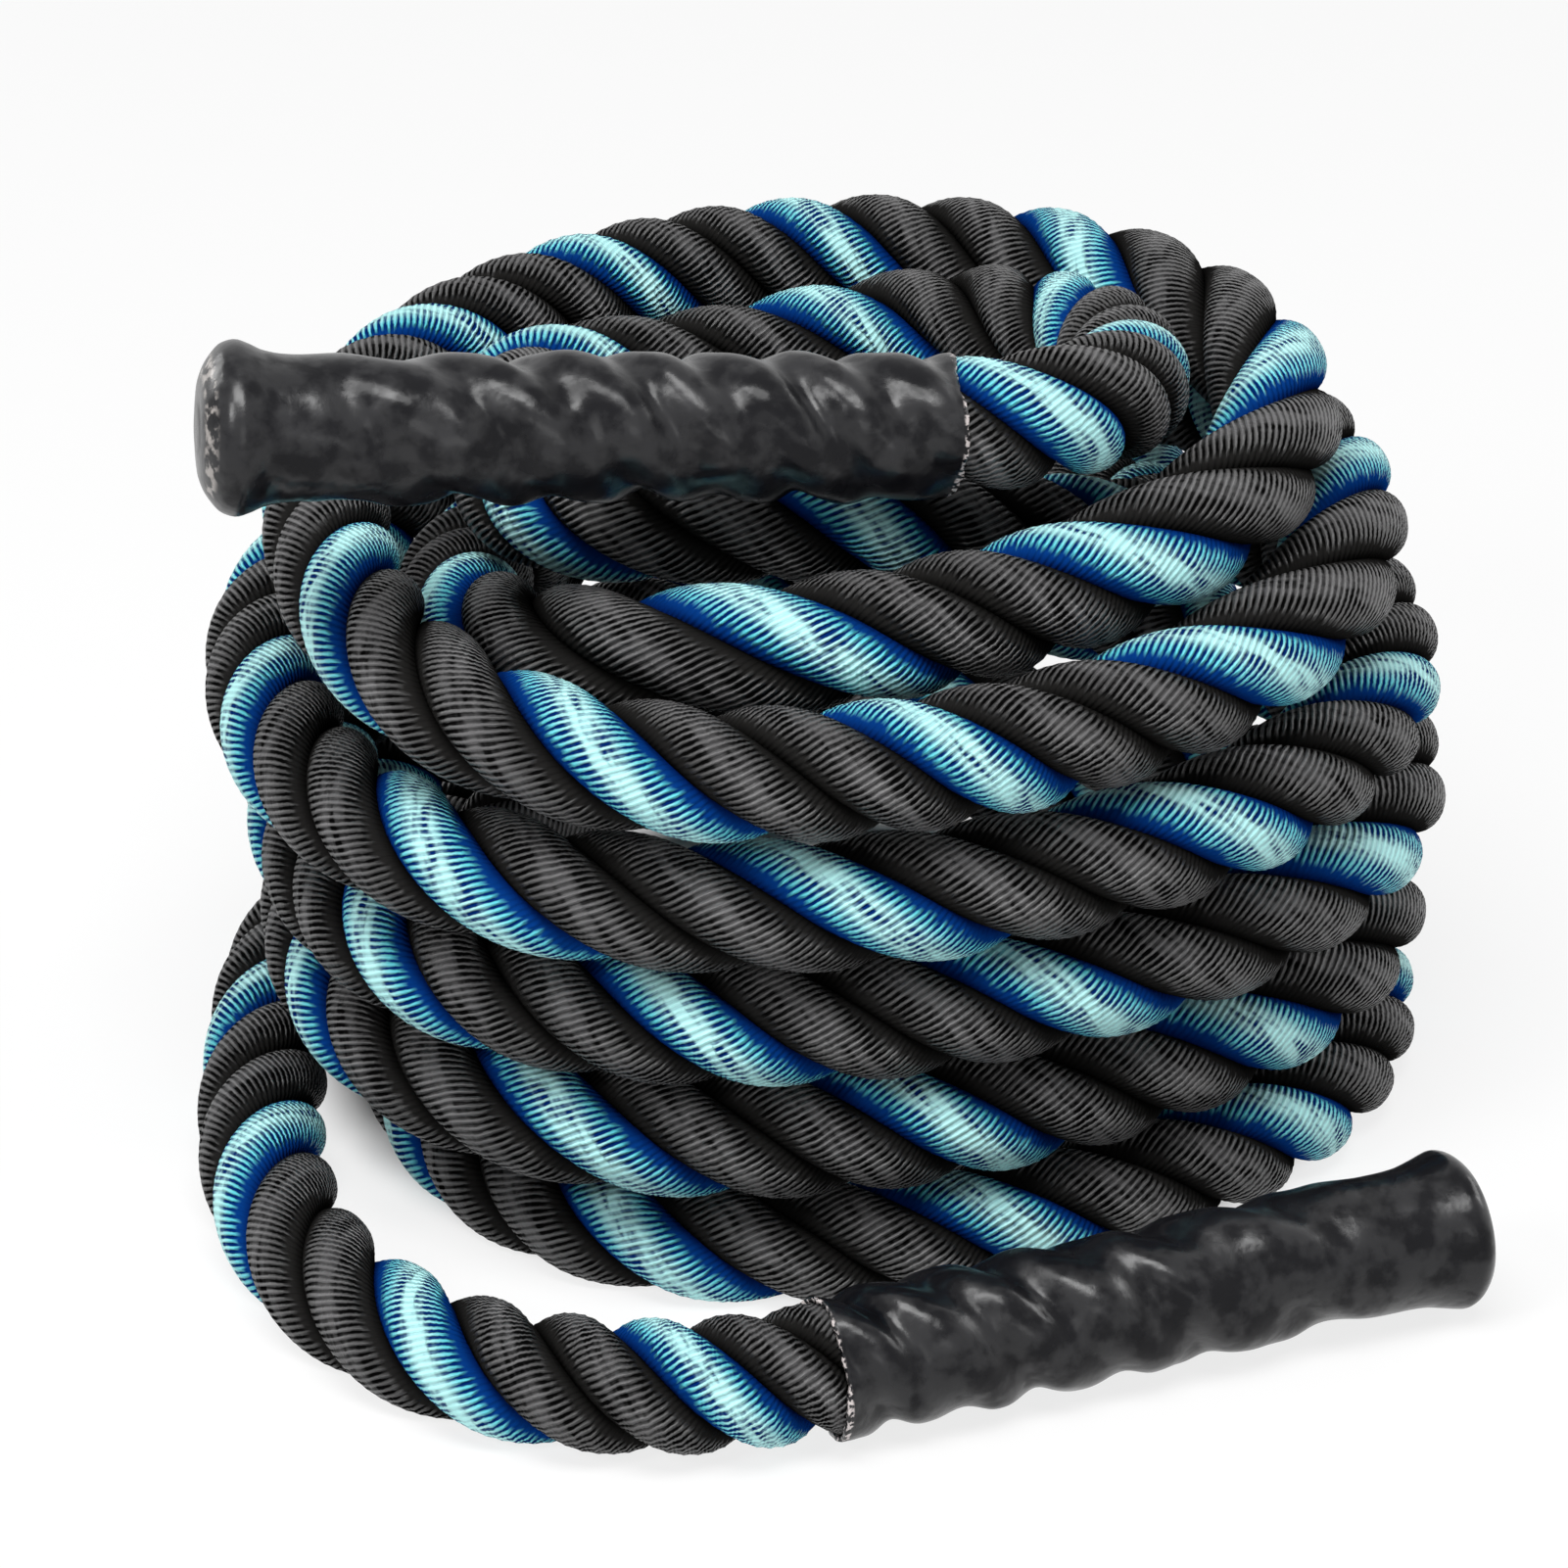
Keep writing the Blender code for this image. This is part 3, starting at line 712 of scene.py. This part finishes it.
def sleeve_mesh(name, length, mouth, way, twist, phase, profile):
    """A shrink sleeve round its axis, with lumps that follow the strands' twist at each distance."""
    far, profile_radius = zip(*profile)
    body_length = length - far[-1]
    body = np.linspace(0, body_length, round(body_length / SLEEVE_ROW), endpoint=False)
    end = length - far[-1] * np.linspace(1, 0, END_ROWS) ** END_ROW_EASE
    along = np.concatenate([body, end])
    inner_along = np.linspace(SLEEVE_INSIDE, 0, INSIDE_ROWS)
    angle = 2 * math.pi * np.arange(SLEEVE_SIDES) / SLEEVE_SIDES

    from_end = (length - along)[:, None]
    strength = smooth_share(from_end, LUMP_FADE_END, LUMP_FADE_START)
    crest = steady_curve(far, profile_radius, np.minimum(from_end, far[-1]))
    crest = crest + (SLEEVE_CREST_RADIUS - SLEEVE_NECK_RADIUS) * strength
    depth_wave = np.sin(2 * math.pi * along[:, None] * VALLEY_PACE + phase)
    depth = SLEEVE_VALLEY_DEPTH * (VALLEY_LEVEL + VALLEY_SWING * depth_wave)
    uneven = hand_noise(angle[None, :], along[:, None], SLEEVE_WAVES, phase)
    calm = CALM_SHARE + (1 - CALM_SHARE) * strength
    outer = crest - depth * strength * valley_share(angle, twist(along)) + uneven * calm
    inner_depth = SLEEVE_VALLEY_DEPTH * valley_share(angle, twist(inner_along))
    radius = np.concatenate([SLEEVE_CREST_RADIUS - SLEEVE_WALL - inner_depth, outer])

    ragged = hand_noise(angle, 0.0, MOUTH_WAVES, phase)
    spot = np.concatenate([ragged_spots(inner_along, ragged), ragged_spots(along, ragged)])
    axis = np.array(way)
    up, side = across(axis)
    rings = (
        np.array(mouth)
        + spot[..., None] * axis
        + (radius * np.cos(angle))[..., None] * up
        + (radius * np.sin(angle))[..., None] * side
    )
    mesh = grid_mesh(name, rings)
    add_sleeve_map(mesh, spot, length)
    return mesh


def add_sleeve_map(mesh, spot, length):
    """A map of the sleeve: metres from its mouth, and metres from its closed end."""
    beside = np.roll(spot, -1, axis=1)
    faces = np.stack([spot[:-1], beside[:-1], beside[1:], spot[1:]], axis=-1).reshape(-1)
    from_mouth = np.concatenate([faces, np.full(spot.shape[1], SLEEVE_INSIDE), spot[-1]])
    layer = mesh.uv_layers.new(name="Sleeve")
    layer.data.foreach_set("uv", np.stack([from_mouth, length - from_mouth], axis=-1).reshape(-1))


# Sleeve plastic: its noises, from broad clouds to fine grain, its colours, gloss and relief
CLOUD_SCALE = 55.0
CLOUD_DETAIL = 3.0
CLOUD_SPREAD = (0.3, 0.7)
MOTTLE_SCALE = 110.0
MOTTLE_DETAIL = 4.0
MOTTLE_SPREAD = (0.38, 0.60)
RIPPLE_SCALE = 170.0
WORN_SCALE = 260.0
WORN_DETAIL = 4.0
CHIP_SCALE = 620.0
GRAIN_SCALE = 1500.0
SLEEVE_DARK = (0.003, 0.003, 0.004, 1)
SLEEVE_PALE = (0.008, 0.008, 0.010, 1)
SLEEVE_ROUGHNESS = (0.20, 0.32)
SLEEVE_GLOSS = (0.16, 0.42)
CLOUD_RELIEF_SHARE = 2.2
RIPPLE_RELIEF_SHARE = 0.5
GRAIN_RELIEF_SHARE = 0.06
SLEEVE_RELIEF = 0.0008
SLEEVE_RELIEF_STRENGTH = 0.45

# The pale, chipped cut at the mouth, by the distance from it, and the worn rim of the closed end
CUT_COLOUR = (0.62, 0.56, 0.55, 1)
CUT_RUN = (0.0013, 0.0004)
CHIPPED = (0.47, 0.56)
WORN_COLOUR = (0.40, 0.37, 0.35, 1)
WORN_START = (0.0006, 0.0014)
WORN_STOP = (0.0046, 0.0030)
WORN_THROUGH = (0.47, 0.60)


def sleeve_material(name, wear):
    """Glossy black shrink sleeve, mottled, with a chipped cut at its mouth and a worn closed end."""
    nodes = Nodes(name)
    place = nodes.place()
    along, from_end = nodes.map_parts("Sleeve")
    cloud = nodes.noise(place, CLOUD_SCALE, CLOUD_DETAIL)
    chips = nodes.smooth(nodes.noise(place, CHIP_SCALE), *CHIPPED)
    cut = nodes.times(nodes.smooth(along, *CUT_RUN), chips)
    rim = nodes.times(nodes.smooth(from_end, *WORN_START), nodes.smooth(from_end, *WORN_STOP))
    rubbed = nodes.noise(place, WORN_SCALE, WORN_DETAIL)
    rubbed = nodes.smooth(rubbed, *WORN_THROUGH, 0.0, wear)
    colour = nodes.mix(cloud, SLEEVE_DARK, SLEEVE_PALE)
    colour = nodes.mix(nodes.times(rim, rubbed), colour, WORN_COLOUR)
    nodes.shade("Base Color", nodes.mix(cut, colour, CUT_COLOUR))
    nodes.shade("Roughness", nodes.smooth(cloud, *CLOUD_SPREAD, *SLEEVE_ROUGHNESS))
    mottle = nodes.noise(place, MOTTLE_SCALE, MOTTLE_DETAIL)
    nodes.shade("Specular IOR Level", nodes.smooth(mottle, *MOTTLE_SPREAD, *SLEEVE_GLOSS))
    grain = nodes.times(nodes.noise(place, GRAIN_SCALE), GRAIN_RELIEF_SHARE)
    ripple = nodes.noise(place, RIPPLE_SCALE)
    height = nodes.math("MULTIPLY_ADD", ripple, RIPPLE_RELIEF_SHARE, grain)
    height = nodes.math("MULTIPLY_ADD", cloud, CLOUD_RELIEF_SHARE, height)
    nodes.bump(height, SLEEVE_RELIEF, SLEEVE_RELIEF_STRENGTH)
    return nodes.material


def make_handle(prefix, line, mouth, way):
    """A handle's sleeve over the rope's end."""
    length, profile, phase, look, wear = HANDLES[prefix]
    twist = handle_twist(line, mouth, way, prefix == "floor")
    name = prefix + "_sleeve_shell"
    mesh = sleeve_mesh(name, length, mouth + way * FACE_GAP, way, twist, phase, profile)
    piece = add_piece(name, mesh, sleeve_material(look, wear))
    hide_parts(prefix + "_handle_sleeve")


# What is inside the handles: a grey and a roughness each, and how both vary
INNER_LOOKS = (("end_tape", 0.010, 0.5), ("melted_tip", 0.022, 0.6))
INNER_SCALE = 300.0
INNER_DETAIL = 3.0
INNER_TINTS = (0.5, 1.5)
INNER_SPREAD = (0.2, 0.8)
INNER_ROUGHNESS_SWING = 0.1
INNER_RELIEF = 0.0003
INNER_RELIEF_STRENGTH = 0.5


def inner_materials():
    """Tape and melted tips keep their solids, with materials of their own."""
    for kind, tint, rough in INNER_LOOKS:
        nodes = Nodes(kind)
        cloud = nodes.noise(nodes.place(), INNER_SCALE, INNER_DETAIL)
        tints = [grey(tint * share) for share in INNER_TINTS]
        roughness = (rough - INNER_ROUGHNESS_SWING, rough + INNER_ROUGHNESS_SWING)
        nodes.shade("Base Color", nodes.mix(cloud, *tints))
        nodes.shade("Roughness", nodes.smooth(cloud, *INNER_SPREAD, *roughness))
        nodes.bump(cloud, INNER_RELIEF, INNER_RELIEF_STRENGTH)
        for prefix in HANDLES:
            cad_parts[prefix + "_" + kind].data.materials[0] = nodes.material


# Floor: its half width, its look, the share of what it gives off, and the well inside the coil,
# where it gives off nothing
FLOOR_HALF = 6.0
FLOOR_SPECKLE_SCALE = 30.0
FLOOR_GREYS = (0.90, 0.92)
FLOOR_ROUGHNESS = 0.9
FLOOR_GLOSS = 0.1
FLOOR_GLOW_SHARE = 0.80
WELL_CENTRE = (0.0, 0.04)
WELL_RADIUS = 0.165
WELL_INNER_SHARE = 0.85

# Light: what the sky gives off, and the soft boxes as place, aim, width, depth and power
SKY_STRENGTH = 0.14
SOFT_BOXES = (
    ("key", (-1.55, -1.60, 1.75), (0.0, 0.0, 0.12), 0.7, 0.7, 20.0),
    ("top_front", (-0.15, -0.85, 2.05), (0.0, 0.0, 0.15), 1.6, 0.85, 44.0),
    ("front", (0.50, -2.40, 0.75), (0.0, 0.0, 0.12), 1.2, 0.8, 4.0),
    ("left_back", (-1.70, 1.10, 0.90), (0.0, 0.0, 0.15), 0.8, 0.8, 9.0),
    ("right_back", (1.70, 0.90, 0.80), (0.0, 0.0, 0.15), 0.8, 0.8, 9.0),
)


def seen_share(nodes):
    """One for what the camera, a reflection or glass sees, zero for light that falls on things."""
    path = nodes.new("ShaderNodeLightPath")
    total = path.outputs["Is Camera Ray"]
    links = nodes.id_data.links
    for name in ("Is Glossy Ray", "Is Transmission Ray"):
        greater = nodes.new("ShaderNodeMath")
        greater.operation = "MAXIMUM"
        links.new(total, greater.inputs[0])
        links.new(path.outputs[name], greater.inputs[1])
        total = greater.outputs[0]
    return total


def outside_well(nodes):
    """One outside the coil's well, fading to zero inside it."""
    x, y = WELL_CENTRE
    scale = (1 / WELL_RADIUS, 1 / WELL_RADIUS, 0.0)
    shift = (-x / WELL_RADIUS, -y / WELL_RADIUS, 0.0)
    kind = "ShaderNodeVectorMath"
    offset = nodes.add(kind, nodes.place(), scale, shift, operation="MULTIPLY_ADD")
    reach = nodes.add(kind, offset.outputs[0], operation="LENGTH")
    return nodes.smooth(reach.outputs["Value"], WELL_INNER_SHARE, 1.0)


def floor_material():
    """Pale and dull, and seen as white round the coil while it keeps the object's shadow."""
    nodes = Nodes("floor")
    speckle = nodes.noise(nodes.place(), FLOOR_SPECKLE_SCALE)
    nodes.shade("Base Color", nodes.mix(speckle, *[grey(value) for value in FLOOR_GREYS]))
    nodes.shade("Roughness", FLOOR_ROUGHNESS)
    nodes.shade("Specular IOR Level", FLOOR_GLOSS)
    share = nodes.times(outside_well(nodes), FLOOR_GLOW_SHARE)
    share = nodes.times(seen_share(nodes.tree.nodes), share)
    glow = nodes.add("ShaderNodeEmission")
    blend = nodes.add("ShaderNodeMixShader", share, nodes.shader.outputs[0], glow.outputs[0])
    surface = nodes.tree.nodes["Material Output"].inputs["Surface"]
    nodes.tree.links.new(blend.outputs[0], surface)
    return nodes.material


def add_floor():
    """A plain pale floor under the object."""
    mesh = bpy.data.meshes.new("floor")
    corners = ((-1, -1), (1, -1), (1, 1), (-1, 1))
    spots = [(x * FLOOR_HALF, y * FLOOR_HALF, 0) for x, y in corners]
    mesh.from_pydata(spots, [], [(0, 1, 2, 3)])
    floor = bpy.data.objects.new("floor", mesh)
    bpy.context.scene.collection.objects.link(floor)
    mesh.materials.append(floor_material())


def add_sky():
    """A world that is seen as white and lights the object softly."""
    world = bpy.data.worlds.new("world")
    bpy.context.scene.world = world
    world.use_nodes = True
    nodes = world.node_tree.nodes
    background = nodes["Background"]
    background.inputs["Color"].default_value = (1, 1, 1, 1)
    strength = nodes.new("ShaderNodeMapRange")
    strength.inputs["To Min"].default_value = SKY_STRENGTH
    strength.inputs["To Max"].default_value = 1.0
    world.node_tree.links.new(seen_share(nodes), strength.inputs["Value"])
    world.node_tree.links.new(strength.outputs[0], background.inputs["Strength"])


def add_lights():
    """Soft boxes round the object, the strongest beside and above the camera."""
    for name, place, aim, width, depth, power in SOFT_BOXES:
        data = bpy.data.lights.new(name, "AREA")
        data.shape = "RECTANGLE"
        data.size = width
        data.size_y = depth
        data.energy = power
        lamp = bpy.data.objects.new(name, data)
        lamp.location = place
        way = Vector(aim) - Vector(place)
        lamp.rotation_euler = way.to_track_quat("-Z", "Y").to_euler()
        bpy.context.scene.collection.objects.link(lamp)


def main():
    """The whole scene."""
    add_camera()
    line = make_rope()
    make_handle("floor", line, *floor_handle_place())
    make_handle("upper", line, *upper_handle_place())
    inner_materials()
    add_floor()
    add_sky()
    add_lights()
    bpy.context.scene.view_settings.view_transform = "Standard"


main()
